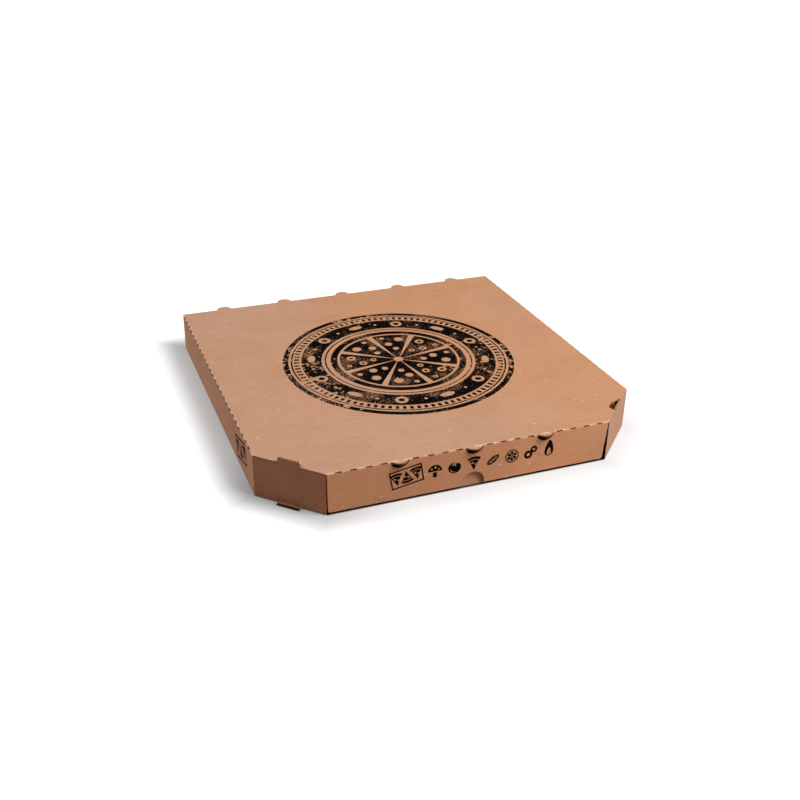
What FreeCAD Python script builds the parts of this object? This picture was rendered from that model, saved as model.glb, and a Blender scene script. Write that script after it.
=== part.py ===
# Pizza box folded from one sheet of thin corrugated board, closed: a tray with cut corners and
# locking tabs, a lid that hinges on the back wall with side flaps tucked inside the tray, and a
# front flap that hangs from the lid over the tray's front wall.
# Frame: +Z up, the front faces -Y, origin on the floor under the middle. Millimetres.
import FreeCAD
import Part
import PartDesign
import Sketcher
import os

SIZES = [
    # closed box, outside
    ("width", 360, "side wall to side wall"),
    ("depth", 360, "front flap to back wall"),
    ("height", 40, "floor to the lid's top face"),
    ("corner_cut", 49, "leg of the cut across each front corner"),
    # board and folds
    ("board", 1.6, "thickness of the sheet"),
    ("fold_radius", 1, "outside of a folded edge"),
    ("mitre_gap", 0.1, "from the hinge fold's mitre line to each leaf"),
    ("lid_gap", 0.2, "walls' top edges to the lid"),
    # tray
    ("back_ear", 45, "corner ears glued inside the back wall"),
    ("front_ear", 45, "corner ears glued inside the front wall"),
    ("ear_top", 31, "top of the ears above the floor"),
    # locking tabs of the corner panels
    ("tab_width", 21.3, "along the corner panel"),
    ("left_tab_rise", 4.5, "top of the left tab above the lid"),
    ("right_tab_rise", 0.4, "top of the right tab above the lid"),
    ("tab_round", 1.2, "upper corners of the left tab"),
    ("foot_reach", 4.4, "lower left tab out from the corner panel, flat on the floor"),
    ("tab_side_gap", 0.5, "tab to the end of its notch in the lid"),
    ("notch_gap", 1.2, "tab to the back of its notch"),
    ("torn_depth", 4.8, "right notch's torn edge, past that at its deepest"),
    # lid's side flaps
    ("skirt_gap", 0.5, "side flap to the tray's wall"),
    ("skirt_depth", 34, "side flap below the lid"),
    ("skirt_front", 7, "end of the side flap behind the corner panel's fold"),
    ("skirt_back", 5, "end of the side flap before the back wall's outer face"),
    ("skirt_slant", 9, "the flap's front end leans back by this much at its foot"),
    # steam vents on the hinge folds
    ("vent_radius", 7.9, "half-moon tongue that stays in the lid's plane"),
    ("vent_reach", 6.4, "tongue past the fold"),
    ("front_vent_radius", 8.1, "the same for the flatter tongues of the front fold"),
    ("front_vent_reach", 4.5, "front tongue past the fold"),
    ("vent_gap", 0.8, "tongue to the rim of its hole"),
    ("wall_vent_gap", 4.6, "the same to the rim of the hole in the tray's front wall"),
    ("vent_pitch", 67.5, "between vents"),
    ("front_vents", 3, "number on the front fold"),
    ("back_vents", 5, "number on the back fold"),
    # perforated folds
    ("slit_length", 6, "each cut along the fold"),
    ("slit_pitch", 12, "from one cut to the next, side folds"),
    ("fold_slit_pitch", 13.2, "the same on the front fold"),
    ("side_slit_depth", 0.9, "opening of a cut in a side fold, into the lid"),
    ("fold_slit_gap", 0.55, "opening of a cut in the front fold, into each leaf"),
    ("slit_margin", 8, "from the end of a side fold to its first cut"),
    ("slit_group", 4, "number of cuts between two vents"),
    # front flap
    ("flap_gap", 1.2, "flap to the tray's front wall"),
    ("nose_gap", 0.4, "corner panel's front end behind the lid's corner"),
    ("wall_slot", 5.5, "between the front wall's end and the corner panel"),
    ("left_end_gap", 0.6, "flap's left end to the corner panel at the fold"),
    ("right_end_gap", 1.1, "the same on the right"),
    ("flap_lift", 2.6, "lower edge of the flap above the floor"),
    ("left_taper", 0.6, "flap's left end runs in by this much at its foot"),
    ("right_taper", 2.9, "the same on the right"),
    ("flap_corner", 2, "rounding of the flap's lower corners"),
    ("thumb_radius", 10.4, "thumb notch"),
    ("thumb_set", 2.1, "centre of the thumb notch above the flap's lower edge"),
]

ROOT2 = 2 ** 0.5

# the right notch's torn edge, front end first: shares of half its length and of the torn depth
TORN_EDGE = ((-1, 0.15), (-0.86, 0.7), (-0.62, 0.84), (-0.4, 1), (-0.12, 0.86), (0.1, 0.93),
             (0.34, 0.55), (0.6, 0.42), (0.82, 0.12), (1, 0))

# places that several pieces share, in terms of the sizes
SIDE = "[width] / 2"
BACK = "[depth] / 2"
FRONT = "-[depth] / 2"
FOLD_Y = "(-[depth] / 2 + [corner_cut])"                          # side wall to corner panel
FOLD_X = "([width] / 2 - [corner_cut])"                           # corner panel to front fold
WALL_TOP = "([height] - [board] - [lid_gap])"
WALL_FACE = "(-[depth] / 2 + [flap_gap] + [board])"               # outer face of the front wall
NOSE_X = "([width] / 2 - [corner_cut] + [nose_gap])"              # front end of the corner panel
TAB_X = "([width] / 2 - [corner_cut] / 2)"                        # middle of the corner panel
TAB_Y = "(-[depth] / 2 + [corner_cut] / 2)"
VENT_SET = "([vent_radius] - [vent_reach])"                       # vent's centre behind the fold
FRONT_VENT_SET = "([front_vent_radius] - [front_vent_reach])"     # the same for a front tongue
GROUP_SPAN = "(([slit_group] - 1) * [fold_slit_pitch] + [slit_length])"

doc = FreeCAD.newDocument("pizza_box")
sheet = doc.addObject("Spreadsheet::Sheet", "Sizes")
for row, (name, value, note) in enumerate(SIZES, start=1):
    sheet.set(f"A{row}", name)
    sheet.set(f"B{row}", str(value))
    sheet.set(f"C{row}", note)
    sheet.setAlias(f"B{row}", name)
doc.recompute()


def bound(text):
    """The expression with each size in square brackets turned into its cell."""
    return text.replace("[", "Sizes.").replace("]", "")


def amount(text):
    """What an expression comes to now."""
    found = sheet.evalExpression(bound(text))
    return float(getattr(found, "Value", found))


def new_sketch(body, name, role, lift=None):
    """A sketch on one of the body's origin planes, moved along the plane's normal by lift."""
    plane = next(f for f in body.Origin.OriginFeatures if f.Role == role)
    sketch = body.newObject("Sketcher::SketchObject", name)
    sketch.AttachmentSupport = [(plane, "")]
    sketch.MapMode = "FlatFace"
    if lift is not None:
        sketch.setExpression("AttachmentOffset.Base.z", bound(lift))
    return sketch


def hold(sketch, kind, geometry, text, point=None):
    """Bind a distance from the sketch's origin, or a radius, to the sizes."""
    if point is None:
        index = sketch.addConstraint(Sketcher.Constraint(kind, geometry, amount(text)))
    else:
        index = sketch.addConstraint(
            Sketcher.Constraint(kind, -1, 1, geometry, point, amount(text)))
    sketch.setExpression(f"Constraints[{index}]", bound(text))


def outline(sketch, corners):
    """A closed outline of straight lines, each corner bound to the sizes."""
    places = [FreeCAD.Vector(amount(x), amount(y), 0) for x, y in corners]
    count = len(corners)
    first = sketch.GeometryCount
    for i in range(count):
        sketch.addGeometry(Part.LineSegment(places[i], places[(i + 1) % count]))
    for i in range(count):
        sketch.addConstraint(
            Sketcher.Constraint("Coincident", first + i, 2, first + (i + 1) % count, 1))
    for i, (x, y) in enumerate(corners):
        hold(sketch, "DistanceX", first + i, x, point=1)
        hold(sketch, "DistanceY", first + i, y, point=1)


def ring(sketch, x, y, radius):
    """A circle bound to the sizes."""
    centre = FreeCAD.Vector(amount(x), amount(y), 0)
    index = sketch.addGeometry(
        Part.Circle(centre, FreeCAD.Vector(0, 0, 1), amount(radius)))
    hold(sketch, "DistanceX", index, x, point=3)
    hold(sketch, "DistanceY", index, y, point=3)
    hold(sketch, "Radius", index, radius)


def flipped(corners):
    """The same outline on the other side of the box."""
    return [(f"-({x})", y) for x, y in reversed(corners)]


def block(x0, y0, x1, y1):
    return [(x0, y0), (x1, y0), (x1, y1), (x0, y1)]


def extruded(body, kind, name, sketch, length, reverse=False, midplane=False):
    feature = body.newObject("PartDesign::" + kind, name)
    feature.Profile = sketch
    feature.setExpression("Length", bound(length))
    feature.Reversed = reverse
    feature.Midplane = midplane
    return feature


def pad(body, name, sketch, length, **options):
    feature = extruded(body, "Pad", name, sketch, length, **options)
    doc.recompute()
    return feature


def pocket(body, name, sketch, length, **options):
    """A cut, checked to have taken material away."""
    before = body.Shape.Volume
    feature = extruded(body, "Pocket", name, sketch, length, **options)
    doc.recompute()
    if not body.Shape.Volume < before - 1e-3:
        raise RuntimeError(name + " cuts nothing")
    return feature


def rounded(body, name, radius, chosen):
    """A fillet on the edges of the body's tip that the test chooses."""
    base = body.Tip
    names = [f"Edge{i}" for i, edge in enumerate(base.Shape.Edges, start=1) if chosen(edge)]
    feature = body.newObject("PartDesign::Fillet", name)
    feature.Base = (base, names)
    feature.setExpression("Radius", bound(radius))
    doc.recompute()
    return feature


def repeated(body, name, feature, role, count, step, reverse=False):
    """Copies of a cut in a straight row."""
    axis = next(f for f in body.Origin.OriginFeatures if f.Role == role)
    row = body.newObject("PartDesign::LinearPattern", name)
    row.Originals = [feature]
    row.Direction = (axis, [""])
    row.Reversed = reverse
    row.setExpression("Occurrences", bound(count))
    row.setExpression("Length", bound(f"({count} - 1) * {step}"))
    body.Tip = row
    doc.recompute()
    return row


def near(number, text, slack=1e-3):
    return abs(number - amount(text)) < slack


def lies(edge, **at):
    """Whether the whole edge lies at the given coordinates, such as z='[height]'."""
    box = edge.BoundBox
    return all(near(getattr(box, axis.upper() + "Min"), text)
               and near(getattr(box, axis.upper() + "Max"), text) for axis, text in at.items())


def vent_places(count_name):
    """Where the vents stand along a fold, evenly about the middle."""
    count = int(amount(f"[{count_name}]"))
    return [f"({i} - ([{count_name}] - 1) / 2) * [vent_pitch]" for i in range(count)]


def corner_place(along, out):
    """A place by the right corner panel: along it from its middle, and out from its face."""
    return (f"{TAB_X} + (({along}) + ({out})) / {ROOT2}",
            f"{TAB_Y} + (({along}) - ({out})) / {ROOT2}")


def corner_patch(half, outside, inside):
    """A patch across the middle of the right corner panel, seen from above."""
    return [corner_place(f"-({half})", outside), corner_place(half, outside),
            corner_place(half, f"-({inside})"), corner_place(f"-({half})", f"-({inside})")]


def add_both(sketch, corners):
    outline(sketch, corners)
    outline(sketch, flipped(corners))


def fold_slits(body, section):
    """Cuts along the front fold in groups beside the vents, as many as the fold has room for."""
    groups = int(amount("[front_vents]")) + 1
    for i in range(groups):
        left = 2 * i < groups - 1
        inner = f"(abs({i} - [front_vents] / 2) * [vent_pitch] - {GROUP_SPAN} / 2)"
        start = f"-{inner} - [slit_length]" if left else inner
        count = (f"min([slit_group]; "
                 f"floor(({FOLD_X} - {inner} - [slit_length]) / [fold_slit_pitch]) + 1)")
        sketch = new_sketch(body, f"{body.Label}_slit_outline_{i}", "YZ_Plane", start)
        outline(sketch, section)
        slit = pocket(body, f"{body.Label}_slit_{i}", sketch, "[slit_length]", reverse=True)
        repeated(body, f"{body.Label}_slits_{i}", slit, "X_Axis", count, "[fold_slit_pitch]",
                 reverse=left)


def new_body(name):
    body = doc.addObject("PartDesign::Body", name)
    body.Label = name
    return body


def make_tray():
    """Base, walls, corner panels with their tabs, and the ears glued inside, as one sheet."""
    body = new_body("tray")

    # outside, up to the lid's top because the back wall ends there
    half = [
        (NOSE_X, WALL_FACE),
        (NOSE_X, f"{FRONT} + [nose_gap]"),
        (SIDE, FOLD_Y),
        (SIDE, BACK),
    ]
    sketch = new_sketch(body, "tray_outline", "XY_Plane")
    outline(sketch, half + flipped(half))
    pad(body, "tray_block", sketch, "[height]")
    rounded(body, "upright_folds", "[fold_radius]", lambda edge: edge.BoundBox.ZLength > 1 and any(
        lies(edge, x=x, y=y) for x in (SIDE, f"-{SIDE}") for y in (FOLD_Y, BACK)))
    rounded(body, "base_folds", "[fold_radius]", lambda edge: any(
        lies(edge, z=z, y=y) for z, y in (("0", BACK), ("0", WALL_FACE), ("[height]", BACK))))

    # inside, down to the base
    inner_x = f"({SIDE} - [board])"
    inner_fold = f"({FOLD_Y} + ({ROOT2} - 1) * [board])"
    inner_front = f"({WALL_FACE} + [board])"
    inner_nose = f"({NOSE_X} + (2 - {ROOT2}) * [board] + [flap_gap] - [nose_gap])"
    half = [
        (inner_nose, inner_front),
        (inner_x, inner_fold),
        (inner_x, f"{BACK} - [board]"),
    ]
    sketch = new_sketch(body, "inside_outline", "XY_Plane", "[board]")
    outline(sketch, half + flipped(half))
    pocket(body, "inside", sketch, "[height]", reverse=True)

    # all walls but the back one end under the lid
    sketch = new_sketch(body, "wall_top_outline", "XY_Plane", WALL_TOP)
    outline(sketch, block("-[width]", "-[depth]", "[width]", f"{BACK} - [board]"))
    pocket(body, "wall_tops", sketch, "[height]", reverse=True)

    # the front wall stands clear of the corner panels, and its top is open behind the vents
    sketch = new_sketch(body, "wall_slot_outline", "XY_Plane", "[board]")
    add_both(sketch, block(f"{NOSE_X} - [wall_slot]", FRONT, NOSE_X, inner_front))
    pocket(body, "wall_slots", sketch, "[height]", reverse=True)
    sketch = new_sketch(body, "wall_vent_outline", "XZ_Plane", f"-({inner_front})")
    for x in vent_places("front_vents"):
        ring(sketch, x, f"[height] + {VENT_SET}", "[vent_radius] + [wall_vent_gap]")
    pocket(body, "wall_vent_holes", sketch, "[depth]", reverse=True)

    # the back wall's half of the hinge fold
    sketch = new_sketch(body, "back_mitre_outline", "YZ_Plane")
    mitre = f"{ROOT2} * [mitre_gap]"
    outline(sketch, [
        (f"{BACK} - [board]", f"[height] - [board] - {mitre}"),
        (f"{BACK} + [board]", f"[height] + [board] - {mitre}"),
        (f"{BACK} - [board]", f"[height] + [board] - {mitre}"),
    ])
    pocket(body, "back_mitre", sketch, "2 * [width]", midplane=True)

    # holes of the steam vents
    sketch = new_sketch(body, "back_vent_outline", "XZ_Plane")
    for x in vent_places("back_vents"):
        ring(sketch, x, f"[height] + {VENT_SET}", "[vent_radius] + [vent_gap]")
    pocket(body, "back_vent_holes", sketch, "[depth]")

    # tabs of the corner panels: the upper ones lock the lid, the lower left one has been
    # pushed out and lies on the floor
    tab = corner_patch("[tab_width] / 2", "0", "[board]")
    for side, corners in (("left", flipped(tab)), ("right", tab)):
        sketch = new_sketch(body, f"{side}_tab_outline", "XY_Plane", WALL_TOP)
        outline(sketch, corners)
        pad(body, f"{side}_lock_tab", sketch, f"[height] + [{side}_tab_rise] - {WALL_TOP}")
    rounded(body, "left_tab_corners", "[tab_round]", lambda edge: (
        lies(edge, z="[height] + [left_tab_rise]") and near(edge.Length, "[board]")))
    sketch = new_sketch(body, "foot_tab_outline", "XY_Plane")
    outline(sketch, flipped(corner_patch("[tab_width] / 2", "[foot_reach]", "[board]")))
    pad(body, "foot_tab", sketch, "[board]")

    # ears glued inside the back and front walls
    sketch = new_sketch(body, "ear_outline", "XY_Plane", "[board]")
    add_both(sketch, block(f"{inner_x} - [back_ear]", f"{BACK} - 2 * [board]",
                           inner_x, f"{BACK} - [board]"))
    add_both(sketch, block(f"{inner_nose} - [front_ear]", inner_front,
                           f"{inner_nose} + [board]", f"{inner_front} + [board]"))
    pad(body, "ears", sketch, "[ear_top] - [board]")
    return body


def make_lid():
    """Top panel with its steam tongues and corner notches, and the two side flaps."""
    body = new_body("lid")
    underside = "[height] - [board]"

    half = [(FOLD_X, FRONT), (SIDE, FOLD_Y), (SIDE, BACK)]
    sketch = new_sketch(body, "panel_outline", "XY_Plane", underside)
    outline(sketch, half + flipped(half))
    pad(body, "panel", sketch, "[board]")
    rounded(body, "panel_folds", "[fold_radius]", lambda edge: any(
        lies(edge, z="[height]", **{axis: place})
        for axis, place in (("y", FRONT), ("y", BACK), ("x", SIDE), ("x", f"-{SIDE}"))))

    # the lid's halves of the two hinge folds
    sketch = new_sketch(body, "lid_mitre_outline", "YZ_Plane")
    mitre = f"{ROOT2} * [mitre_gap]"
    front_mitre = [
        (f"{FRONT} - [board] + {mitre}", "[height] + [board]"),
        (f"{FRONT} - [board] + {mitre}", "[height] - 2 * [board]"),
        (f"{FRONT} + 2 * [board] + {mitre}", "[height] - 2 * [board]"),
    ]
    add_both(sketch, front_mitre)
    pocket(body, "lid_mitres", sketch, "2 * [width]", midplane=True)

    # tongues of the steam vents stay flat when the board beside them folds down
    sketch = new_sketch(body, "tongue_outline", "XY_Plane", underside)
    for x in vent_places("front_vents"):
        ring(sketch, x, f"{FRONT} + {FRONT_VENT_SET}", "[front_vent_radius]")
    for x in vent_places("back_vents"):
        ring(sketch, x, f"{BACK} - {VENT_SET}", "[vent_radius]")
    pad(body, "tongues", sketch, "[board]")

    # notches that the corner panels' tabs come through, the right one torn open
    sketch = new_sketch(body, "notch_outline", "XY_Plane", underside)
    half = "([tab_width] / 2 + [tab_side_gap])"
    inside = "[board] + [notch_gap]"
    outline(sketch, flipped(corner_patch(half, "[board]", inside)))
    torn = [corner_place(f"{along} * {half}", f"-({inside}) - {deep} * [torn_depth]")
            for along, deep in reversed(TORN_EDGE)]
    outline(sketch, [corner_place(f"-{half}", "[board]"), corner_place(half, "[board]")] + torn)
    pocket(body, "notches", sketch, "2 * [board]", reverse=True)

    # side flap, tucked inside the tray's wall, and its twin
    sketch = new_sketch(body, "skirt_outline", "YZ_Plane",
                        f"{SIDE} - 2 * [board] - [skirt_gap]")
    foot = f"{underside} - [skirt_depth]"
    outline(sketch, [
        (f"{FOLD_Y} + [skirt_front]", underside),
        (f"{FOLD_Y} + [skirt_front] + [skirt_slant]", foot),
        (f"{BACK} - [skirt_back]", foot),
        (f"{BACK} - [skirt_back]", underside),
    ])
    right = pad(body, "right_skirt", sketch, "[board]")
    twin = body.newObject("PartDesign::Mirrored", "left_skirt")
    twin.Originals = [right]
    twin.MirrorPlane = (next(f for f in body.Origin.OriginFeatures if f.Role == "YZ_Plane"), [""])
    body.Tip = twin
    doc.recompute()

    # perforated folds along both sides
    sketch = new_sketch(body, "side_slit_outline", "XY_Plane", underside)
    add_both(sketch, block(f"{SIDE} - [side_slit_depth]", f"{BACK} - [slit_margin] - [slit_length]",
                           f"{SIDE} + [board]", f"{BACK} - [slit_margin]"))
    slit = pocket(body, "side_slit", sketch, "2 * [board]", reverse=True)
    run = f"({BACK} - {FOLD_Y} - 2 * [slit_margin] - [slit_length])"
    repeated(body, "side_slits", slit, "Y_Axis", f"(floor({run} / [slit_pitch]) + 1)",
             "[slit_pitch]", reverse=True)

    # the lid's half of the perforated front fold
    wide = f"{ROOT2} * [fold_slit_gap]"
    fold_slits(body, [
        (f"{FRONT} - [board] + {wide}", "[height] + [board]"),
        (f"{FRONT} - [board] + {wide}", "[height] - 2 * [board]"),
        (f"{FRONT} + 2 * [board] + {wide}", "[height] - 2 * [board]"),
    ])
    return body


def make_front_flap():
    """Flap that hangs from the lid's front fold, with vent holes and a thumb notch."""
    body = new_body("front_flap")
    left_end = f"-({NOSE_X} - [left_end_gap])"
    right_end = f"({NOSE_X} - [right_end_gap])"

    sketch = new_sketch(body, "flap_outline", "XZ_Plane", f"{BACK} - [board]")
    outline(sketch, [
        (f"{left_end} + [left_taper]", "[flap_lift]"),
        (f"{right_end} - [right_taper]", "[flap_lift]"),
        (right_end, "[height]"),
        (left_end, "[height]"),
    ])
    pad(body, "flap_panel", sketch, "[board]")
    rounded(body, "flap_fold", "[fold_radius]",
            lambda edge: lies(edge, y=FRONT, z="[height]"))
    rounded(body, "flap_corners", "[flap_corner]", lambda edge: (
        lies(edge, z="[flap_lift]") and near(edge.BoundBox.XLength, "0")))

    # the flap's half of the hinge fold
    sketch = new_sketch(body, "flap_mitre_outline", "YZ_Plane")
    mitre = f"{ROOT2} * [mitre_gap]"
    outline(sketch, [
        (f"{FRONT} - [board]", f"[height] + [board] - {mitre}"),
        (f"{FRONT} + 2 * [board]", f"[height] - 2 * [board] - {mitre}"),
        (f"{FRONT} + 2 * [board]", f"[height] + [board] - {mitre}"),
    ])
    pocket(body, "flap_mitre", sketch, "2 * [width]", midplane=True)

    sketch = new_sketch(body, "flap_hole_outline", "XZ_Plane")
    for x in vent_places("front_vents"):
        ring(sketch, x, f"[height] + {VENT_SET}", "[vent_radius] + [vent_gap]")
    pocket(body, "flap_vent_holes", sketch, "[depth]", reverse=True)

    sketch = new_sketch(body, "thumb_outline", "XZ_Plane")
    ring(sketch, "0", "[flap_lift] + [thumb_set]", "[thumb_radius]")
    pocket(body, "thumb_notch", sketch, "[depth]", reverse=True)

    # its half of the perforated fold
    wide = f"{ROOT2} * [fold_slit_gap]"
    fold_slits(body, [
        (f"{FRONT} - [board]", f"[height] + [board] - {wide}"),
        (f"{FRONT} + 2 * [board]", f"[height] - 2 * [board] - {wide}"),
        (f"{FRONT} + 2 * [board]", f"[height] + [board] - {wide}"),
    ])
    return body


bodies = [make_tray(), make_lid(), make_front_flap()]
doc.recompute()

for item in doc.Objects:
    if "Invalid" in item.State or "Error" in item.State:
        raise RuntimeError(f"{item.Name} failed: {item.State}")
for body in bodies:
    shape = body.Shape
    if shape.isNull() or not shape.isValid() or len(shape.Solids) != 1:
        raise RuntimeError(f"{body.Label} is not one sound solid")

os.makedirs("parts", exist_ok=True)
for body in bodies:
    body.Shape.exportStep(f"parts/{body.Label}.step")
    box = body.Shape.BoundBox
    print(f"{body.Label}: x {box.XMin:.2f} to {box.XMax:.2f}, y {box.YMin:.2f} to {box.YMax:.2f}, "
          f"z {box.ZMin:.2f} to {box.ZMax:.2f}, {body.Shape.Volume / 1000:.1f} cm3")
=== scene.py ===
import math

import bmesh
import bpy
from mathutils import Matrix, Vector


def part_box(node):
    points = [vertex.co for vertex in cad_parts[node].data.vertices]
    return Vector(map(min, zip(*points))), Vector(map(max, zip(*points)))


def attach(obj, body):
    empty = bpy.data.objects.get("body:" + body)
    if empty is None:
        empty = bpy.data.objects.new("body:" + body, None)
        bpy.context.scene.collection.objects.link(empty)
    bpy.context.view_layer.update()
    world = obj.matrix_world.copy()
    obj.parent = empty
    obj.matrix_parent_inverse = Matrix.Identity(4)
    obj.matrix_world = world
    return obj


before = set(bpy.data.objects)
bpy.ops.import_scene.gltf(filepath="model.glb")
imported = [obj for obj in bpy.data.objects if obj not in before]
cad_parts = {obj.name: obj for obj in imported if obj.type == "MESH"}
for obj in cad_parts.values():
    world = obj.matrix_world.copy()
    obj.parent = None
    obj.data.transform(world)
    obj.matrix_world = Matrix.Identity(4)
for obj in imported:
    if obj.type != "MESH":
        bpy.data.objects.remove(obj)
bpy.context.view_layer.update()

mm = 0.001

# sizes read from the frame: the box is square in plan, with its middle at the origin
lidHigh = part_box("lid")[1]
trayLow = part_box("tray")[0]
flapLow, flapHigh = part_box("front_flap")
lidTop = lidHigh[2]
halfSide = -trayLow[0]
flapFront = flapLow[1]
board = flapHigh[1] - flapLow[1]
cornerCut = 49 * mm                          # what a corner panel cuts off each side
cornerReach = 2 * halfSide - cornerCut       # |x| - y on the outer face of a corner panel
print("frame loaded, lid top at", round(lidTop / mm, 2), "mm")


# helpers for node trees

def addNode(tree, kind, **settings):
    made = tree.nodes.new(kind)
    for key, value in settings.items():
        setattr(made, key, value)
    return made


def feed(tree, target, value):
    if isinstance(value, bpy.types.NodeSocket):
        tree.links.new(value, target)
    else:
        target.default_value = value


def mathNode(tree, operation, a, b=0.0, c=0.0, clamp=False):
    made = addNode(tree, "ShaderNodeMath", operation=operation, use_clamp=clamp)
    for target, value in zip(made.inputs, (a, b, c)):
        feed(tree, target, value)
    return made.outputs[0]


def times(tree, product, *others):
    for other in others:
        product = mathNode(tree, "MULTIPLY", product, other)
    return product


def minus(tree, a, b, clamp=False):
    return mathNode(tree, "SUBTRACT", a, b, clamp=clamp)


def fade(tree, mask, start, end):
    return mathNode(tree, "MULTIPLY_ADD", mask, end - start, start)


def rise(tree, value, span, start=0.0):      # from 0 to 1 over a span that counts from start
    made = addNode(tree, "ShaderNodeMapRange", interpolation_type="SMOOTHSTEP")
    feed(tree, made.inputs["Value"], value)
    made.inputs["From Min"].default_value = start + span[0]
    made.inputs["From Max"].default_value = start + span[1]
    return made.outputs["Result"]


def fall(tree, value, span, start=0.0):      # from 1 to 0 over that span
    return minus(tree, 1.0, rise(tree, value, span, start))


def between(tree, value, low, high, soft):
    over = rise(tree, value, (-soft, soft), low)
    past = rise(tree, value, (-soft, soft), high)
    return minus(tree, over, past, clamp=True)


def mixColour(tree, factor, a, b, blend="MIX"):
    made = addNode(tree, "ShaderNodeMix", data_type="RGBA", blend_type=blend)
    feed(tree, made.inputs["Factor"], factor)
    feed(tree, made.inputs[6], a)
    feed(tree, made.inputs[7], b)
    return made.outputs[2]


def axes(tree, output):                      # X, Y and Z of the "Object" place or the "Normal"
    coordinates = addNode(tree, "ShaderNodeTexCoord")
    split = addNode(tree, "ShaderNodeSeparateXYZ")
    tree.links.new(coordinates.outputs[output], split.inputs[0])
    return split.outputs


def cornerWay(tree, place):                  # |x| - y, which grows towards both front corners
    return minus(tree, mathNode(tree, "ABSOLUTE", place["X"]), place["Y"])


def stretchedPlace(tree, stretch, shift):
    place = addNode(tree, "ShaderNodeTexCoord").outputs["Object"]
    mapping = addNode(tree, "ShaderNodeMapping")
    tree.links.new(place, mapping.inputs["Vector"])
    mapping.inputs["Scale"].default_value = stretch
    mapping.inputs["Location"].default_value = shift
    return mapping.outputs["Vector"]


def noise(tree, scale, detail, rough=0.5, stretch=(1, 1, 1), shift=(0, 0, 0)):
    made = addNode(tree, "ShaderNodeTexNoise")
    feed(tree, made.inputs["Vector"], stretchedPlace(tree, stretch, shift))
    made.inputs["Scale"].default_value = scale
    made.inputs["Detail"].default_value = detail
    made.inputs["Roughness"].default_value = rough
    return made.outputs["Fac"]


def spots(tree, scale, size, stretch, shift=(0, 0, 0)):
    made = addNode(tree, "ShaderNodeTexVoronoi")
    feed(tree, made.inputs["Vector"], stretchedPlace(tree, stretch, shift))
    made.inputs["Scale"].default_value = scale
    return fall(tree, made.outputs["Distance"], (size * 0.5, size))


def newMaterial(name, roughness, gloss):
    material = bpy.data.materials.new(name)
    material.use_nodes = True
    tree = material.node_tree
    tree.nodes.clear()
    shader = addNode(tree, "ShaderNodeBsdfPrincipled")
    shader.inputs["Roughness"].default_value = roughness
    shader.inputs["Specular IOR Level"].default_value = gloss
    output = addNode(tree, "ShaderNodeOutputMaterial")
    tree.links.new(shader.outputs["BSDF"], output.inputs["Surface"])
    return material, tree, shader


# kraft board: brown liner with mottling, fibres, flecks and the faint lines of the flutes

kraft = {
    "base": (0.490, 0.240, 0.122, 1),
    "rosy": (0.470, 0.261, 0.165, 1),
    "paintedPinkLight": (0.50, 0.300, 0.215, 1),
    "pale": (0.640, 0.370, 0.230, 1),
    "deep": (0.330, 0.148, 0.070, 1),
    "fleckPale": (0.82, 0.60, 0.44, 1),
    "fleckDark": (0.16, 0.070, 0.032, 1),
    "paintedHighlight": (0.80, 0.53, 0.37, 1),
    "medium": (0.36, 0.178, 0.092, 1),
    "fluteShade": (0.17, 0.080, 0.042, 1),
    "shadedFootTop": (0.28, 0.128, 0.069, 1),
    # near-black painted shade, for gaps and cut edges in shadow
    "gap": (0.016, 0.008, 0.005, 1),
    "paintedLightGain": (1.3, 1.3, 1.3, 1),
    "roughness": 0.72,
    "gloss": 0.2,
    # the board turns rosy to the left, but not on the flap
    "drift": {"slope": -1.2, "span": (0.35, 0.65), "behindFlap": (0.5 * mm, 2.5 * mm),
              "noise": {"scale": 6, "detail": 2, "shift": (2.3, 0.4, 1)}},
    # each layer covers the board with its colour where its noise is high
    "layers": {
        "cloud": {"colour": "deep", "amount": 0.22, "span": (0.35, 0.7),
                  "noise": {"scale": 22, "detail": 4, "rough": 0.6}},
        "grain": {"colour": "pale", "amount": 0.5, "span": (0.5, 0.75),
                  "noise": {"scale": 1, "detail": 3, "rough": 0.65,
                            "stretch": (260, 1500, 1500)}},
        "mottle": {"colour": "deep", "amount": 0.3, "span": (0.5, 0.75),
                   "noise": {"scale": 1, "detail": 3, "rough": 0.6,
                             "stretch": (90, 240, 240)}},
        "fine": {"colour": "deep", "amount": 0.3, "span": (0.55, 0.8),
                 "noise": {"scale": 1500, "detail": 2, "rough": 0.6}},
    },
    "flecks": (
        {"colour": "fleckPale", "amount": 0.6,
         "spots": {"scale": 125, "size": 0.085, "stretch": (0.4, 1, 1)}},
        {"colour": "fleckDark", "amount": 0.45,
         "spots": {"scale": 105, "size": 0.06, "stretch": (0.4, 1, 1),
                   "shift": (3.1, 1.7, 0.4)}},
    ),
}


def kraftColour(tree):
    drift = kraft["drift"]
    place = axes(tree, "Object")
    leftward = mathNode(tree, "MULTIPLY_ADD", place["X"], drift["slope"],
                        noise(tree, **drift["noise"]))
    behind = rise(tree, place["Y"], drift["behindFlap"], flapFront)
    rosy = times(tree, rise(tree, leftward, drift["span"]), behind)
    colour = mixColour(tree, rosy, kraft["base"], kraft["rosy"])
    made = {}
    for name, layer in kraft["layers"].items():
        made[name] = noise(tree, **layer["noise"])
        cover = times(tree, rise(tree, made[name], layer["span"]), layer["amount"])
        colour = mixColour(tree, cover, colour, kraft[layer["colour"]])
    for fleck in kraft["flecks"]:
        cover = times(tree, spots(tree, **fleck["spots"]), fleck["amount"])
        colour = mixColour(tree, cover, colour, kraft[fleck["colour"]])
    return colour, made["grain"], made["fine"]


# fine relief: the fibres and the flutes

relief = {
    "strength": 0.35,
    "depth": 0.12 * mm,
    "flutes": 0.10,
    "grain": 0.5,
    "fine": 0.4,
    "flutePitch": 3.3 * mm,
}


def fluteWave(tree):
    turn = times(tree, axes(tree, "Object")["X"], 2 * math.pi / relief["flutePitch"])
    return mathNode(tree, "SINE", turn)


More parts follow.
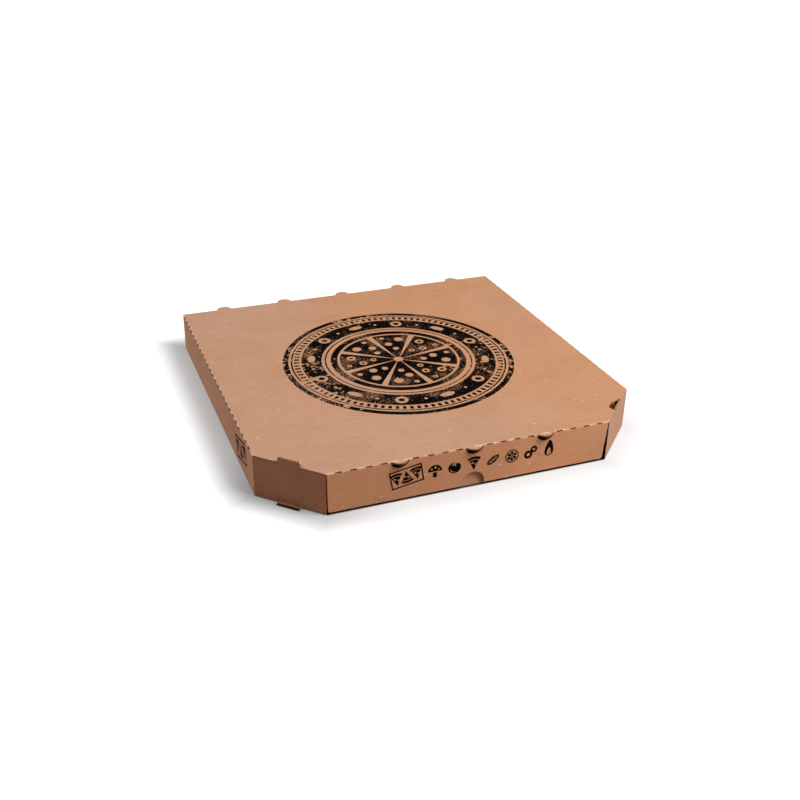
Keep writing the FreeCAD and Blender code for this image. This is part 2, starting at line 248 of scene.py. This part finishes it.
def kraftBump(tree, grain, fine):
    fibres = mathNode(tree, "MULTIPLY_ADD", grain, relief["grain"],
                      times(tree, fine, relief["fine"]))
    height = mathNode(tree, "MULTIPLY_ADD", fluteWave(tree), relief["flutes"], fibres)
    bump = addNode(tree, "ShaderNodeBump")
    bump.inputs["Strength"].default_value = relief["strength"]
    bump.inputs["Distance"].default_value = relief["depth"]
    tree.links.new(height, bump.inputs["Height"])
    return bump.outputs["Normal"]


# painted highlight: paler where the surface turns over a fold, and in patches beside the folds

foldHighlight = {
    "turning": (0.25, 0.93, 0.06),           # low, high and softness of the normal's z
    "grain": (0.3, 0.6),
    "patches": {"scale": 130, "detail": 3, "shift": (0.2, 3, 1)},
    "patchSpan": (0.4, 0.6),
    "amount": 0.75,
}


def paintedFoldHighlight(tree, colour, grain):
    turning = between(tree, axes(tree, "Normal")["Z"], *foldHighlight["turning"])
    wearAndHighlight = times(tree, turning, rise(tree, grain, foldHighlight["grain"]), foldHighlight["amount"])
    return mixColour(tree, wearAndHighlight, colour, kraft["paintedHighlight"])


def paintedHighlightStrip(tree, colour, far, span):
    patch = rise(tree, noise(tree, **foldHighlight["patches"]), foldHighlight["patchSpan"])
    wearAndHighlight = times(tree, fall(tree, far, span), patch, foldHighlight["amount"])
    return mixColour(tree, wearAndHighlight, colour, kraft["paintedHighlight"])


# raw edge of the board, in shares of its thickness

cutEdge = {
    "waveMiddle": 0.5,
    "waveHeight": 0.34,
    "flute": (0.12, 0.24),
    "core": (0.14, 0.86, 0.05),              # low, high and softness
}


def rawEdge(tree, colour, mask, across):
    middle = mathNode(tree, "MULTIPLY_ADD", fluteWave(tree), cutEdge["waveHeight"],
                      cutEdge["waveMiddle"])
    off = mathNode(tree, "ABSOLUTE", minus(tree, across, middle))
    # the hollows between the flutes take painted shade
    inside = mixColour(tree, fall(tree, off, cutEdge["flute"]), kraft["fluteShade"], kraft["medium"])
    liner = minus(tree, 1.0, between(tree, across, *cutEdge["core"]))
    return mixColour(tree, mask, colour, mixColour(tree, liner, inside, kraft["base"]))


def kraftMaterial(name, edge=None, detail=None):
    material, tree, shader = newMaterial(name, kraft["roughness"], kraft["gloss"])
    colour, grain, fine = kraftColour(tree)
    colour = paintedFoldHighlight(tree, colour, grain)
    if detail:
        colour = detail(tree, colour)
    if edge:
        colour = rawEdge(tree, colour, *edge(tree))
    tree.links.new(colour, shader.inputs["Base Color"])
    tree.links.new(kraftBump(tree, grain, fine), shader.inputs["Normal"])
    return material


# lid: raw edges along its cuts, painted highlights beside the folds and in the slits of the front
# fold, and painted shade on its tongues' cut edges

lidBoard = {
    "upright": (-0.2, 0.2, 0.02),            # low, high and softness of the normal's z
    "aboveFoot": (0.0, 0.05 * mm),
    "sideInset": 0.3 * mm,                   # the side folds show no raw edge
    "sideSoft": 0.1 * mm,
    "edgeShows": 0.35,
    "cornerShows": 0.05,                     # along the right corner panel
    "cornerSpan": (-2.5 * mm, -2.3 * mm),
    "foldBehind": 0.4 * mm,                  # from the flap's front face to the front fold
    "highlightSpan": (0.4 * mm, 1.4 * mm),
    "upward": (0.6, 0.8),
    "cutFront": (-0.3 * mm, 0.0),
    "cutBack": (2.4 * mm, 2.6 * mm),
    "slitLightAmount": 0.8,
    "tongueShadeSpan": (-0.6 * mm, -0.3 * mm),
}


def lidEdge(tree):
    place = axes(tree, "Object")
    upright = between(tree, axes(tree, "Normal")["Z"], *lidBoard["upright"])
    foot = lidTop - board
    plate = rise(tree, place["Z"], lidBoard["aboveFoot"], foot)
    reach = halfSide - lidBoard["sideInset"]
    inner = between(tree, place["X"], -reach, reach, lidBoard["sideSoft"])
    across = mathNode(tree, "DIVIDE", minus(tree, place["Z"], foot), board)
    # the raw edge hardly shows along the right corner panel, where light falls on it
    litCorner = rise(tree, minus(tree, place["X"], place["Y"]), lidBoard["cornerSpan"], cornerReach)
    amount = fade(tree, litCorner, lidBoard["edgeShows"], lidBoard["cornerShows"])
    return times(tree, upright, plate, inner, amount), across


def lidPaintedLight(tree, colour):
    place = axes(tree, "Object")
    side = minus(tree, halfSide, mathNode(tree, "ABSOLUTE", place["X"]))
    front = mathNode(tree, "ABSOLUTE", minus(tree, place["Y"], flapFront + lidBoard["foldBehind"]))
    colour = paintedHighlightStrip(tree, colour, mathNode(tree, "MINIMUM", side, front),
                         lidBoard["highlightSpan"])
    upward = rise(tree, axes(tree, "Normal")["Z"], lidBoard["upward"])
    # painted light on the slits' faces along the front fold
    fold = minus(tree, rise(tree, place["Y"], lidBoard["cutFront"], flapFront),
                 rise(tree, place["Y"], lidBoard["cutBack"], flapFront))
    cut = times(tree, minus(tree, fold, upward, clamp=True), lidBoard["slitLightAmount"])
    colour = mixColour(tree, cut, colour, kraft["paintedHighlight"])
    # painted shade on the tongues' cut edges, over the dark vents
    tongue = fall(tree, place["Y"], lidBoard["tongueShadeSpan"], flapFront)
    return mixColour(tree, minus(tree, tongue, upward, clamp=True), colour, kraft["gap"])


# front flap: raw edges along its cuts, a painted highlight along its top, and painted light
# growing to the right

flapBoard = {
    "endward": (-0.2, 0.2, 0.02),            # low, high and softness of the normal's y
    "edgeShows": 1.0,
    "topShows": 0.3,
    "topSpan": (-2.0 * mm, -1.8 * mm),
    "paintedLightSpan": (-0.09, 0.13),
    "highlightSpan": (0.4 * mm, 1.3 * mm),
}


def flapEdge(tree):
    place = axes(tree, "Object")
    thick = between(tree, axes(tree, "Normal")["Y"], *flapBoard["endward"])
    across = mathNode(tree, "DIVIDE", minus(tree, place["Y"], flapFront), board)
    high = rise(tree, place["Z"], flapBoard["topSpan"], lidTop)
    amount = fade(tree, high, flapBoard["edgeShows"], flapBoard["topShows"])
    return times(tree, thick, amount), across


def flapPaintedLight(tree, colour):
    place = axes(tree, "Object")
    # painted light: the flap turns brighter to the right
    colour = mixColour(tree, rise(tree, place["X"], flapBoard["paintedLightSpan"]), colour,
                       kraft["paintedLightGain"], "MULTIPLY")
    return paintedHighlightStrip(tree, colour, minus(tree, lidTop, place["Z"]), flapBoard["highlightSpan"])


# tray: raw edges on top of its corner tabs, painted shade on its foot tabs and in the gaps at the
# flap's ends, and painted light on the right corner panel and the left wall's foot

trayBoard = {
    "level": (0.9, 0.95),                    # of the normal's z
    "tabSpan": (-3 * board, -2 * board),
    "shadedFootTop": (0.3 * mm, 0.5 * mm),
    "footTip": (3.8 * mm, 4.2 * mm),
    "outerFace": (0.3, 0.4),                 # of the normal's y
    "frontWall": (9 * mm, 10 * mm),          # from the box's front
    "flapEnds": (-4.8 * mm, -4.4 * mm),      # from the corner panel's fold
    "insidePanel": (-0.6 * mm, -0.4 * mm),
    "panelFacing": (0.6, 0.68),              # of the normal's x
    "panelSpan": (-0.4 * mm, -0.2 * mm),
    "pinkLightAmount": 0.5,
    "leftFacing": (-0.95, -0.9),             # of the normal's x
    "leftFoot": (4 * mm, 32 * mm),
    "bounceLightAmount": 0.65,
}


def trayEdge(tree):
    place = axes(tree, "Object")
    level = rise(tree, axes(tree, "Normal")["Z"], trayBoard["level"])
    high = rise(tree, place["Z"], trayBoard["tabSpan"], lidTop)
    depth = minus(tree, cornerReach, cornerWay(tree, place))
    across = mathNode(tree, "DIVIDE", depth, math.sqrt(2) * board)
    return times(tree, level, high), across


def trayShade(tree, colour):
    place = axes(tree, "Object")
    facing = axes(tree, "Normal")
    outward = cornerWay(tree, place)
    # painted shade on the foot tabs: a dark top and a near-black tip
    foot = rise(tree, outward, trayBoard["shadedFootTop"], cornerReach)
    tip = rise(tree, outward, trayBoard["footTip"], cornerReach)
    colour = mixColour(tree, foot, colour, mixColour(tree, tip, kraft["shadedFootTop"], kraft["gap"]))
    # painted shade in the gap at each end of the flap
    outer = fall(tree, facing["Y"], trayBoard["outerFace"])
    front = minus(tree, outer, rise(tree, place["Y"], trayBoard["frontWall"], -halfSide),
                  clamp=True)
    ends = rise(tree, mathNode(tree, "ABSOLUTE", place["X"]), trayBoard["flapEnds"],
                halfSide - cornerCut)
    inside = fall(tree, outward, trayBoard["insidePanel"], cornerReach)
    colour = mixColour(tree, times(tree, front, ends, inside), colour, kraft["gap"])
    # painted light: a pink light on the right corner panel, and the left wall brighter towards its
    # foot
    panel = times(tree, rise(tree, facing["X"], trayBoard["panelFacing"]),
                  rise(tree, outward, trayBoard["panelSpan"], cornerReach),
                  trayBoard["pinkLightAmount"])
    colour = mixColour(tree, panel, colour, kraft["paintedPinkLight"])
    leftward = fall(tree, facing["X"], trayBoard["leftFacing"])
    low = minus(tree, leftward, rise(tree, place["Z"], trayBoard["leftFoot"]), clamp=True)
    return mixColour(tree, times(tree, low, trayBoard["bounceLightAmount"]), colour, kraft["paintedLightGain"],
                     "MULTIPLY")


def dress(node, material):
    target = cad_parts[node]
    target.data.materials.clear()
    target.data.materials.append(material)


kraftBoard = kraftMaterial("kraftBoard")
for node, edge, detail in (("tray", trayEdge, trayShade), ("lid", lidEdge, lidPaintedLight),
                           ("front_flap", flapEdge, flapPaintedLight)):
    dress(node, kraftMaterial(node + "Board", edge, detail))
print("board dressed")


# worn black ink, printed on the board: where it has rubbed off the kraft shows

ink = {
    "colour": (0.0045, 0.0035, 0.0035, 1),
    "roughness": 0.8,
    "gloss": 0.0,
    "speckles": {"scale": 700, "detail": 3, "rough": 0.7, "shift": (1, 4, 2)},
    "specklesFrom": 0.665,
    "speckleAreas": {"scale": 28, "detail": 3, "rough": 0.6, "shift": (5, 2, 1)},
    "speckleAreaSpan": (0.42, 0.66),
    "chips": {"scale": 190, "detail": 5, "rough": 0.7, "shift": (3, 1, 2)},
    "chipsFrom": 0.70,
    "chipAreas": {"scale": 14, "detail": 2, "shift": (1, 7, 4)},
    "chipAreaSpan": (0.42, 0.58),
    "chipShare": 1.1,
    "edge": (0.0, 0.02),
    "wornMost": 0.13,
    "wornLeast": 0.03,
}


def inkMaterial(name, wearAndHighlight):
    material, tree, shader = newMaterial(name, ink["roughness"], ink["gloss"])
    colour, grain, fine = kraftColour(tree)
    speckled = rise(tree, noise(tree, **ink["speckleAreas"]), ink["speckleAreaSpan"])
    speckleLimit = mathNode(tree, "MULTIPLY_ADD", speckled, -wearAndHighlight, ink["specklesFrom"])
    speckles = minus(tree, noise(tree, **ink["speckles"]), speckleLimit)
    chipped = rise(tree, noise(tree, **ink["chipAreas"]), ink["chipAreaSpan"])
    chipLimit = mathNode(tree, "MULTIPLY_ADD", chipped, -ink["chipShare"] * wearAndHighlight,
                         ink["chipsFrom"])
    chips = minus(tree, noise(tree, **ink["chips"]), chipLimit)
    bare = rise(tree, mathNode(tree, "MAXIMUM", speckles, chips), ink["edge"])
    tree.links.new(mixColour(tree, bare, ink["colour"], colour), shader.inputs["Base Color"])
    tree.links.new(kraftBump(tree, grain, fine), shader.inputs["Normal"])
    return material


wornInk = inkMaterial("wornInk", ink["wornMost"])
crispInk = inkMaterial("crispInk", ink["wornLeast"])


# flat printed shapes, drawn in the XY plane in millimetres, then given the thickness of a film

film = {
    "over": 0.02,            # film's top above the board
    "under": 0.05,           # film's foot below the board's face
    "lift": 0.02,            # what is left bare in the ink lies this much higher
    "arcStep": math.radians(3.75),
    "curveSteps": 4,
}


def flatTurn(degrees):
    return Matrix.Rotation(math.radians(degrees), 2)


def flatPlace(centre, turn, width=1.0, height=1.0):
    return (Matrix.Translation((*centre, 0)) @ Matrix.Rotation(math.radians(turn), 4, "Z")
            @ Matrix.Diagonal((width, height, 1, 1)))


def ringBand(bm, inner, outer, start=0.0, sweep=360.0, centre=(0, 0)):
    middle = Vector((*centre, 0))
    steps = max(3, round(math.radians(sweep) / film["arcStep"]))
    ray = Vector((math.cos(math.radians(start)), math.sin(math.radians(start)), 0))
    ends = [bm.verts.new(middle + ray * r) for r in (inner, outer)]
    edge = bm.edges.new(ends)
    bmesh.ops.spin(bm, geom=[*ends, edge], cent=middle, axis=(0, 0, 1),
                   angle=math.radians(sweep), steps=steps, use_merge=sweep == 360)


def disc(bm, radius, centre=(0, 0), squeeze=1.0, turn=0.0, segments=28):
    bmesh.ops.create_circle(bm, cap_ends=True, radius=radius, segments=segments,
                            matrix=flatPlace(centre, turn, 1.0, squeeze))


def bar(bm, width, height, centre=(0, 0), turn=0.0, curve=0.0):
    made = bmesh.ops.create_grid(bm, x_segments=1, y_segments=1, size=0.5,
                                 matrix=flatPlace(centre, turn, width, height))
    if curve:
        bmesh.ops.bevel(bm, geom=made["verts"], offset=curve, offset_type="OFFSET",
                        segments=film["curveSteps"], profile=0.5, affect="VERTICES",
                        material=-1)


def frameLine(bm, width, height, line, centre, turn):
    across = Vector((math.cos(math.radians(turn)), math.sin(math.radians(turn))))
    up = Vector((-across.y, across.x))
    middle = Vector(centre)
    for side in (-1, 1):
        bar(bm, width, line, middle + up * side * (height - line) / 2, turn)
        bar(bm, line, height - 2 * line, middle + across * side * (width - line) / 2, turn)


# simple kitchen pictograms, each about 13 mm high: black shapes with bare ones laid over them

pictures = {
    "sliceReach": 13.5,      # from the slice's tip to its crust's outside
    "sliceTip": 6.6,
    "pizzaCuts": 6,
    "pizzaGap": 7.0,         # degrees each side of a cut
    "leafTurn": 35.0,
    "veinTurn": 42.0,
    "calyxPoints": 5,
    "flameWidth": 4.4,
    "flameRise": 0.36,
    "flameLean": 0.10,
    "stampSlices": ((-0.31, 0), (0.0, 180), (0.31, 0)),     # share of its width, and turn
}


def slicePicture(black, bare, centre, size=1.0, turn=0.0):
    spin = flatTurn(turn)
    tip = Vector(centre) + spin @ Vector((0, -pictures["sliceTip"] * size))
    for inner, outer, half in ((0.3, 10.4, 25), (11.0, pictures["sliceReach"], 28)):
        ringBand(black, inner * size, outer * size, 90 - half + turn, 2 * half, tip)
    for x, y, r in ((-1.5, 7.5, 1.1), (1.5, 5.9, 0.9)):
        disc(bare, r * size, tip + spin @ Vector((x, y)) * size, segments=16)


def mushroomPicture(black, bare, centre):
    x, y = centre
    ringBand(black, 0.2, 6.4, 0, 180, (x, y - 0.4))
    bar(black, 3.6, 5.2, (x, y - 3.7), curve=1.0)
    for dx, dy, r in ((-3.0, 2.0, 0.9), (0.4, 3.4, 1.1), (3.3, 1.6, 0.8)):
        disc(bare, r, (x + dx, y + dy), segments=16)


def olivePicture(black, bare, centre):
    x, y = centre
    ringBand(black, 1.6, 4.0, centre=(x - 2.1, y - 1.7))
    ringBand(black, 1.3, 3.3, centre=(x + 3.0, y + 2.9))


def leafPicture(black, bare, centre):
    middle = Vector(centre)
    turn = pictures["leafTurn"]
    disc(black, 6.6, middle, 0.46, turn, 32)
    bar(bare, 9.5, 0.55, middle, turn)
    for along in (-2.6, 0.2, 3.0):
        for side in (-1, 1):
            bar(bare, 2.4, 0.42, middle + flatTurn(turn) @ Vector((along, side)),
                turn + side * pictures["veinTurn"])


def tomatoPicture(black, bare, centre):
    x, y = centre
    disc(black, 5.9, (x, y - 0.5), 0.92, 0, 36)
    for i in range(pictures["calyxPoints"]):
        turn = i * 360 / pictures["calyxPoints"]
        spot = Vector((x, y + 3.9)) + flatTurn(turn) @ Vector((1.5, 0))
        disc(bare, 1.7, spot, 0.32, turn, 12)
    ringBand(bare, 3.9, 4.5, 200, 75, (x, y - 0.5))


def flamePicture(black, bare, centre):
    x, y = centre
    wide = pictures["flameWidth"]
    for spread, ground, target in ((wide, -2.2, black), (2.1, -3.6, bare)):
        made = bmesh.ops.create_circle(target, cap_ends=True, radius=spread, segments=28,
                                       matrix=flatPlace((x, y + ground), 0))
        for vert in made["verts"]:
            over = max(0.0, vert.co.y - y - ground)
            vert.co.y += over * over * pictures["flameRise"] / (spread / wide)
            vert.co.x += over * pictures["flameLean"]


def pizzaPicture(black, bare, centre):
    ringBand(black, 5.4, 6.5, centre=centre)
    cut = 360 / pictures["pizzaCuts"]
    gap = pictures["pizzaGap"]
    for i in range(pictures["pizzaCuts"]):
        ringBand(black, 0.7, 4.6, i * cut + gap, cut - 2 * gap, centre)


def pieceFrom(bm, name, material):
    mesh = bpy.data.meshes.new(name)
    bm.to_mesh(mesh)
    bm.free()
    piece = bpy.data.objects.new(name, mesh)
    bpy.context.scene.collection.objects.link(piece)
    mesh.materials.append(material)
    return piece


def thicken(bm, height):
    grown = bmesh.ops.extrude_face_region(bm, geom=bm.faces[:])
    moved = [part for part in grown["geom"] if isinstance(part, bmesh.types.BMVert)]
    bmesh.ops.translate(bm, verts=moved, vec=(0, 0, height))


def solidFilm(bm, name, place, material, body, lift=0.0):
    bmesh.ops.remove_doubles(bm, verts=bm.verts, dist=0.001)
    bm.normal_update()
    for face in bm.faces:
        if face.normal.z < 0:
            face.normal_flip()
    thicken(bm, film["over"] + lift + film["under"])
    bmesh.ops.translate(bm, verts=bm.verts, vec=(0, 0, -film["under"]))
    bmesh.ops.recalc_face_normals(bm, faces=bm.faces)
    bmesh.ops.scale(bm, verts=bm.verts, vec=(mm, mm, mm))
    bmesh.ops.transform(bm, verts=bm.verts, matrix=place)
    piece = pieceFrom(bm, name, material)
    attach(piece, body)


def printOn(name, draw, place, material, body):
    black = bmesh.new()
    bare = bmesh.new()
    draw(black, bare)
    solidFilm(black, name, place, material, body)
    solidFilm(bare, name + "_bare", place, kraftBoard, body, film["lift"])


# round print on the lid: rings, a toothed ring, a band of motifs and a cut pizza

roundel = {
    "outerRing": (108.5, 114.0),
    "thinRing": (104.6, 106.2),
    "teeth": (98.0, 103.2),
    "toothCount": 96,
    "toothShare": 0.5,
    "band": (76.0, 96.0),
    "innerRing": (71.5, 73.0),
    "crust": (60.5, 67.0),
    "motifCount": 12,
    "oval": (7.6, 0.5),        # radius and squeeze
    "ovalBar": (11.0, 0.9),
    "ringMotif": (3.1, 6.2),
    "dot": 1.7,
    "slices": (5.0, 58.0),
    "sliceCount": 8,
    "sliceGap": 3.0,           # degrees each side of a cut
    # toppings: distance from the middle, share of the slice's angle, and radius
    "toppings": ((47, 0.30, 4.6), (36, 0.66, 4.0), (25, 0.42, 3.2), (51, 0.74, 2.6)),
    "ringHole": 0.45,          # a ring's hole in the topping's size
    "turn": 11.0,
}


def drawBand(black, bare):
    middle = sum(roundel["band"]) / 2
    pitch = 360 / roundel["motifCount"]
    for i in range(roundel["motifCount"]):
        angle = i * pitch + roundel["turn"]
        way = Vector((math.cos(math.radians(angle)), math.sin(math.radians(angle))))
        if i % 2:
            radius, squeeze = roundel["oval"]
            disc(bare, radius, way * middle, squeeze, angle + 90)
            bar(black, *roundel["ovalBar"], way * middle, angle + 90)
        else:
            ringBand(bare, *roundel["ringMotif"], centre=way * middle)
        disc(bare, roundel["dot"], flatTurn(pitch / 2) @ way * middle, segments=16)


def drawSlices(black, bare):
    cut = 360 / roundel["sliceCount"]
    gap = roundel["sliceGap"]
    for i in range(roundel["sliceCount"]):
        start = i * cut + roundel["turn"]
        ringBand(black, *roundel["slices"], start + gap, cut - 2 * gap)
        for r, share, size in roundel["toppings"]:
            angle = math.radians(start + cut * (share if i % 2 else 1 - share))
            spot = (r * math.cos(angle), r * math.sin(angle))
            if i % 3:
                disc(bare, size, spot, segments=24)
            else:
                ringBand(bare, size * roundel["ringHole"], size, centre=spot)


def drawRoundel(black, bare):
    for name in ("outerRing", "thinRing", "band", "innerRing", "crust"):
        ringBand(black, *roundel[name])
    step = 360 / roundel["toothCount"]
    for i in range(roundel["toothCount"]):
        ringBand(black, *roundel["teeth"], i * step, step * roundel["toothShare"])
    drawBand(black, bare)
    drawSlices(black, bare)


printOn("lid_print", drawRoundel, Matrix.Translation((0, 0, lidTop)), wornInk, "lid")
print("lid printed")


# front flap: a tilted framed stamp, then a row of pictograms

flapPrint = {
    "rowStart": -36.0,
    "rowPitch": 18.0,
    "rowHeight": 23.3,
    "row": (mushroomPicture, tomatoPicture, slicePicture, leafPicture, pizzaPicture,
            olivePicture, flamePicture),
    "stamp": {"centre": (-61.5, 23.2), "size": (29.5, 17.5), "turn": 10.0, "line": 1.3},
}


def drawStamp(black, bare, centre, size, turn, line):
    frameLine(black, *size, line, centre, turn)
    inside = size[1] - 4 * line              # less the frame's line and a gap like it, twice
    for share, lean in pictures["stampSlices"]:
        spot = Vector(centre) + flatTurn(turn) @ Vector((size[0] * share, 0))
        slicePicture(black, bare, spot, inside / pictures["sliceReach"], turn + lean)


def drawFront(black, bare):
    for i, picture in enumerate(flapPrint["row"]):
        along = flapPrint["rowStart"] + i * flapPrint["rowPitch"]
        picture(black, bare, (along, flapPrint["rowHeight"]))
    drawStamp(black, bare, **flapPrint["stamp"])


flapPlace = Matrix.Translation((0, flapFront, 0)) @ Matrix.Rotation(math.radians(90), 4, "X")
printOn("flap_print", drawFront, flapPlace, crispInk, "front_flap")


# left wall: the same stamp, larger

wallPrint = {
    "stamp": {"centre": (87.5, 20.5), "size": (38.0, 21.0), "turn": 14.0, "line": 1.9},
}


def drawWall(black, bare):
    drawStamp(black, bare, **wallPrint["stamp"])


wallPlace = Matrix(((0, 0, -1, -halfSide), (-1, 0, 0, 0), (0, 1, 0, 0), (0, 0, 0, 1)))
printOn("wall_print", drawWall, wallPlace, crispInk, "tray")
print("flap and wall printed")


# crushed board where the right tab has torn its notch, in millimetres along and across the notch

crush = {
    "along": (-9.6, 7.5),
    "inward": (3.1, 7.2),
    "cells": (16, 6),
    "deep": 3.4,
    "thick": 1.1,
    "sunk": 0.1,             # below the lid's underside
    "taper": 1.6,
    "ragged": ((23.0, 0.0, 0.48), (41.0, 1.0, 0.32)),       # waves, start and size
    "crumples": ((31.0, 17.0, 0.0), (-7.0, 11.0, 2.0)),     # waves along, across, and start
    "crumpleSize": 0.75,
    "crumbs": {"scale": 650, "detail": 3, "rough": 0.7},
    "crumbSpan": (0.42, 0.62),
    "dark": (0.030, 0.010, 0.005, 1),
    "light": (0.24, 0.100, 0.045, 1),
    "roughness": 0.9,
    "gloss": 0.0,
}


# the crushed board's near-black colours are painted shade in the torn notch
def crushedMaterial():
    material, tree, shader = newMaterial("crushedBoard", crush["roughness"], crush["gloss"])
    crumbs = rise(tree, noise(tree, **crush["crumbs"]), crush["crumbSpan"])
    tree.links.new(mixColour(tree, crumbs, crush["dark"], crush["light"]),
                   shader.inputs["Base Color"])
    return material


def crushedPlace(u, w):
    ragged = sum(size * math.sin(u * waves + start) for waves, start, size in crush["ragged"])
    crumple = math.prod(math.sin(u * a + w * b + start) for a, b, start in crush["crumples"])
    along = crush["along"][0] + (crush["along"][1] - crush["along"][0]) * u
    inward = crush["inward"][0] + (crush["inward"][1] - crush["inward"][0]) * w
    inward += ragged * (1 - w) - crush["taper"] * u * w
    return along, inward, crumple * crush["crumpleSize"] - crush["deep"] * (1 - w)


def crushedBoard():
    bm = bmesh.new()
    columns, rows = crush["cells"]
    bmesh.ops.create_grid(bm, x_segments=columns, y_segments=rows, size=0.5)
    for vert in bm.verts:
        vert.co = crushedPlace(vert.co.x + 0.5, vert.co.y + 0.5)
    thicken(bm, -crush["thick"])
    bmesh.ops.recalc_face_normals(bm, faces=bm.faces)
    middle = cornerReach / 2 / mm            # of the right corner panel
    lidFoot = (lidTop - board) / mm
    place = (Matrix.Translation((middle, -middle, lidFoot - crush["sunk"]))
             @ Matrix.Rotation(math.radians(45), 4, "Z"))
    bmesh.ops.transform(bm, verts=bm.verts, matrix=Matrix.Scale(mm, 4) @ place)
    piece = pieceFrom(bm, "crushed_board", crushedMaterial())
    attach(piece, "lid")


crushedBoard()
print("crushed board made")


# floor: white to the camera away from the box, shaded beside it, and warm in what it throws back

floorLook = {
    "size": 14.0,
    "colour": (0.46, 0.46, 0.46, 1),
    "under": (0.05, 0.05, 0.05, 1),
    "bounce": (0.46, 0.31, 0.27, 1),
    "bounceRight": (0.27, 0.20, 0.27, 1),
    "rightSpan": (0.05, 0.2),
    "glowNear": 0.35,
    "glowFar": 0.56,
    "glowClear": 1.0,
    "nearSpan": (0.0, 0.035),                # metres from the box's outline
    "clearSpan": (0.0, 0.13),
    "outlineSpan": (-0.0015, 0.0005),
    "slant": 0.71,                           # from |x| - y to metres from a corner panel
    "shadowLeft": (-0.16, -0.06),
    "shadowFront": (-0.15, -0.05),
    "shadowBack": 0.45,                      # how much of the shadow is left at the back
    "shadowGlow": -0.2,
    "shadowAmount": 0.3,
    "roughness": 0.9,
    "gloss": 0.0,
}


def fromBox(tree, place):                    # metres from the box's outline, negative inside
    aside = minus(tree, mathNode(tree, "ABSOLUTE", place["X"]), halfSide)
    ahead = minus(tree, mathNode(tree, "ABSOLUTE", place["Y"]), halfSide)
    panel = times(tree, minus(tree, cornerWay(tree, place), cornerReach), floorLook["slant"])
    return mathNode(tree, "MAXIMUM", aside, mathNode(tree, "MAXIMUM", ahead, panel))


def floorMaterial():
    material, tree, shader = newMaterial("studioFloor", floorLook["roughness"],
                                         floorLook["gloss"])
    shader.inputs["Emission Color"].default_value = (1, 1, 1, 1)
    seen = addNode(tree, "ShaderNodeLightPath").outputs["Is Camera Ray"]
    place = axes(tree, "Object")
    away = fromBox(tree, place)
    near = rise(tree, away, floorLook["nearSpan"])
    outside = rise(tree, away, floorLook["outlineSpan"])
    # the shadow lies on the left and fades to the back
    left = fall(tree, place["X"], floorLook["shadowLeft"])
    back = rise(tree, place["Y"], floorLook["shadowFront"])
    shadow = times(tree, left, fade(tree, back, 1.0, floorLook["shadowBack"]),
                   minus(tree, 1.0, near))
    glow = fade(tree, near, floorLook["glowNear"], floorLook["glowFar"])
    glow = mathNode(tree, "MULTIPLY_ADD", rise(tree, away, floorLook["clearSpan"]),
                    floorLook["glowClear"] - floorLook["glowFar"], glow)
    glow = mathNode(tree, "MULTIPLY_ADD", shadow, floorLook["shadowGlow"], glow)
    tree.links.new(times(tree, seen, times(tree, glow, outside)),
                   shader.inputs["Emission Strength"])
    # less light comes back from the floor on the right of the box
    bounce = mixColour(tree, rise(tree, place["X"], floorLook["rightSpan"]),
                       floorLook["bounce"], floorLook["bounceRight"])
    base = mixColour(tree, times(tree, shadow, floorLook["shadowAmount"]), floorLook["colour"],
                     floorLook["under"])
    # painted shade under the box, inside its outline
    base = mixColour(tree, outside, floorLook["under"], base)
    tree.links.new(mixColour(tree, seen, bounce, base), shader.inputs["Base Color"])
    return material


def makeFloor():
    bm = bmesh.new()
    bmesh.ops.create_grid(bm, x_segments=1, y_segments=1, size=floorLook["size"] / 2)
    floor = pieceFrom(bm, "floor", floorMaterial())


# lights

sky = {
    "colour": (1, 1, 1, 1),
    "strength": 0.03,        # for all but the camera and mirrored rays, which see full white
}

lamps = {
    "keyLamp": {"place": (1.09, -1.02, 1.9), "strength": 66.0, "size": 1.3},
    "rimLamp": {"place": (-1.5, 1.2, 1.2), "strength": 25.0, "size": 1.4},
    "sideLamp": {"place": (1.9, -1.5, 0.8), "strength": 10.0, "size": 1.0},
}


def makeSky():
    world = bpy.data.worlds.new("studioSky")
    bpy.context.scene.world = world
    world.use_nodes = True
    tree = world.node_tree
    back = tree.nodes["Background"]
    back.inputs["Color"].default_value = sky["colour"]
    path = addNode(tree, "ShaderNodeLightPath").outputs
    seen = mathNode(tree, "MAXIMUM", path["Is Camera Ray"], path["Is Glossy Ray"])
    tree.links.new(fade(tree, seen, sky["strength"], 1.0), back.inputs["Strength"])


def makeLamp(name, place, strength, size):
    data = bpy.data.lights.new(name, "AREA")
    data.shape = "DISK"
    data.size = size
    data.energy = strength
    lamp = bpy.data.objects.new(name, data)
    bpy.context.scene.collection.objects.link(lamp)
    lamp.location = place
    lamp.rotation_euler = (-Vector(place)).to_track_quat("-Z", "Y").to_euler()


makeFloor()
makeSky()
for name, lamp in lamps.items():
    makeLamp(name, **lamp)


# camera: angles in degrees, lengths in metres, the lens in the photograph's pixels

view = {
    "azimuth": -21.546,
    "elevation": 28.038,
    "roll": 1.017,
    "distance": 1.01224,
    "target": (-0.0021, -0.01113, 0),
    "focalPixels": 1014.03,
    "framePixels": 800,
    "sensorWidth": 36.0,
}


def makeCamera():
    around, above = math.radians(view["azimuth"]), math.radians(view["elevation"])
    back = Vector((math.sin(around) * math.cos(above), -math.cos(around) * math.cos(above),
                   math.sin(above)))
    right = (-back).cross(Vector((0, 0, 1))).normalized()
    up = right.cross(-back)
    roll = math.radians(view["roll"])
    across = right * math.cos(roll) + up * math.sin(roll)
    upward = up * math.cos(roll) - right * math.sin(roll)
    data = bpy.data.cameras.new("camera")
    data.sensor_width = view["sensorWidth"]
    data.lens = view["focalPixels"] / view["framePixels"] * view["sensorWidth"]
    camera = bpy.data.objects.new("camera", data)
    bpy.context.scene.collection.objects.link(camera)
    turned = Matrix((across, upward, back)).transposed().to_4x4()
    camera.matrix_world = Matrix.Translation(
        Vector(view["target"]) + back * view["distance"]) @ turned
    bpy.context.scene.camera = camera


makeCamera()
bpy.context.scene.view_settings.view_transform = "Standard"
print("studio ready")
